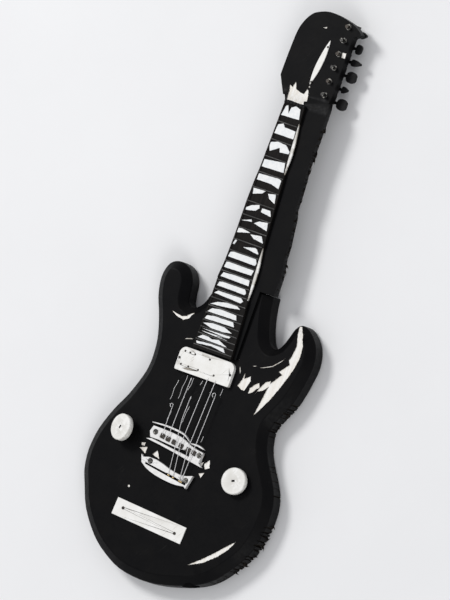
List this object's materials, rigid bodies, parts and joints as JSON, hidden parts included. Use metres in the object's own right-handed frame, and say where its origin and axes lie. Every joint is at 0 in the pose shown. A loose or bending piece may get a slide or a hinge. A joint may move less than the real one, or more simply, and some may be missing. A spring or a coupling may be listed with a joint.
{
  "type": "electric guitar",
  "caption": "Broken solid-body electric guitar lying on its back: bevelled double-cutaway body, screwed neck, splintered edge, cracked inlays, snapped strings, damaged tuners.",
  "frame": {"origin": "on the flat back face, under the bridge on the string centre line", "axes": "+Y towards the headstock, +X towards the treble side, +Z out of the face"},
  "size_m": [0.3732, 1.018, 0.0754],
  "materials": {
    "black_lacquer": "gloss lacquer, chipped to bare wood",
    "ebony": "satin, worn",
    "pearl": "gloss, cracked",
    "ivory_plastic": "semi-gloss, scratched",
    "pale_metal": "pale enamel over a casting, worn",
    "fret_metal": "tarnished",
    "black_plastic": "semi-gloss",
    "dark_screws": "blackened steel",
    "brass": "dull",
    "copper_wire": "enamelled",
    "string_steel": "bright wound and plain wire",
    "black_rubber": "matte sleeve",
    "orange_film": "dipped film",
    "nickel": "dull nickel plate"
  },
  "bodies": {
    "guitar": {"body": "black_lacquer", "neck": "black_lacquer", "fretboard": "ebony", "fret_inlays": "pearl", "frets": "fret_metal", "binding_strips": "ivory_plastic", "nut": "black_plastic", "truss_rod": "nickel", "truss_rod_nut": "brass", "truss_cover": "ivory_plastic", "truss_cover_screws": "dark_screws", "neck_screws": "nickel", "neck_ferrules": "nickel", "pickup_cover": "ivory_plastic", "pickup_bobbins": "black_plastic", "pickup_coils": "copper_wire", "pickup_magnet": "dark_screws", "pickup_baseplate": "nickel", "pole_screws": "dark_screws", "pickup_screws": "nickel", "bridge_base": "pale_metal", "bridge_rest_bar": "pale_metal", "bridge_saddles": "dark_screws", "saddle_screws": "nickel", "bridge_posts": "nickel", "post_inserts": "brass", "tailpiece": "pale_metal", "tailpiece_studs": "nickel", "stud_inserts": "brass", "strings": "string_steel", "broken_strings": "string_steel", "ball_ends": "brass", "volume_pot_case": "nickel", "tone_knob": "ivory_plastic", "tone_shaft": "nickel", "tone_pot_case": "nickel", "pot_nuts": "nickel", "rear_cover": "black_plastic", "rear_cover_screws": "nickel", "face_plate": "ivory_plastic", "face_plate_screws": "dark_screws", "jack_socket": "nickel", "jack_plate": "dark_screws", "jack_contact": "brass", "wiring": "black_rubber", "capacitor": "orange_film", "tuner_housings": "nickel", "tuner_bushings": "nickel", "tuner_screws": "nickel", "seized_posts": "dark_screws", "seized_keys": "black_plastic"},
    "volume_control": {"volume_shaft": "nickel", "volume_knob": "ivory_plastic"},
    "tuner_1_key": {"tuner_key_1": "black_plastic"},
    "tuner_1_post": {"tuner_post_1": "nickel"},
    "tuner_3_key": {"tuner_key_3": "black_plastic"},
    "tuner_3_post": {"tuner_post_3": "nickel"},
    "tuner_5_key": {"tuner_key_5": "black_plastic"},
    "tuner_5_post": {"tuner_post_5": "nickel"}
  },
  "joints": [
    {"name": "volume_turn", "type": "hinge", "parent": "guitar", "child": "volume_control", "pos_m": [0.13, -0.026, 0.05], "axis": [0, 0, 1], "range_deg": [-150, 150]},
    {"name": "tuner_1_key_turn", "type": "hinge", "parent": "guitar", "child": "tuner_1_key", "pos_m": [0.041, 0.637, 0.021], "axis": [1, 0, 0], "continuous": true},
    {"name": "tuner_1_post_turn", "type": "hinge", "parent": "guitar", "child": "tuner_1_post", "pos_m": [0.041, 0.643, 0.021], "axis": [0, 0, 1], "continuous": true},
    {"name": "tuner_3_key_turn", "type": "hinge", "parent": "guitar", "child": "tuner_3_key", "pos_m": [0.041, 0.686, 0.021], "axis": [1, 0, 0], "continuous": true},
    {"name": "tuner_3_post_turn", "type": "hinge", "parent": "guitar", "child": "tuner_3_post", "pos_m": [0.041, 0.692, 0.021], "axis": [0, 0, 1], "continuous": true},
    {"name": "tuner_5_key_turn", "type": "hinge", "parent": "guitar", "child": "tuner_5_key", "pos_m": [0.041, 0.735, 0.021], "axis": [1, 0, 0], "continuous": true},
    {"name": "tuner_5_post_turn", "type": "hinge", "parent": "guitar", "child": "tuner_5_post", "pos_m": [0.041, 0.741, 0.021], "axis": [0, 0, 1], "continuous": true}
  ],
  "couplings": [
    {"joint": "tuner_1_post_turn", "follows": "tuner_1_key_turn", "ratio": 0.071429},
    {"joint": "tuner_3_post_turn", "follows": "tuner_3_key_turn", "ratio": 0.071429},
    {"joint": "tuner_5_post_turn", "follows": "tuner_5_key_turn", "ratio": 0.071429}
  ]
}
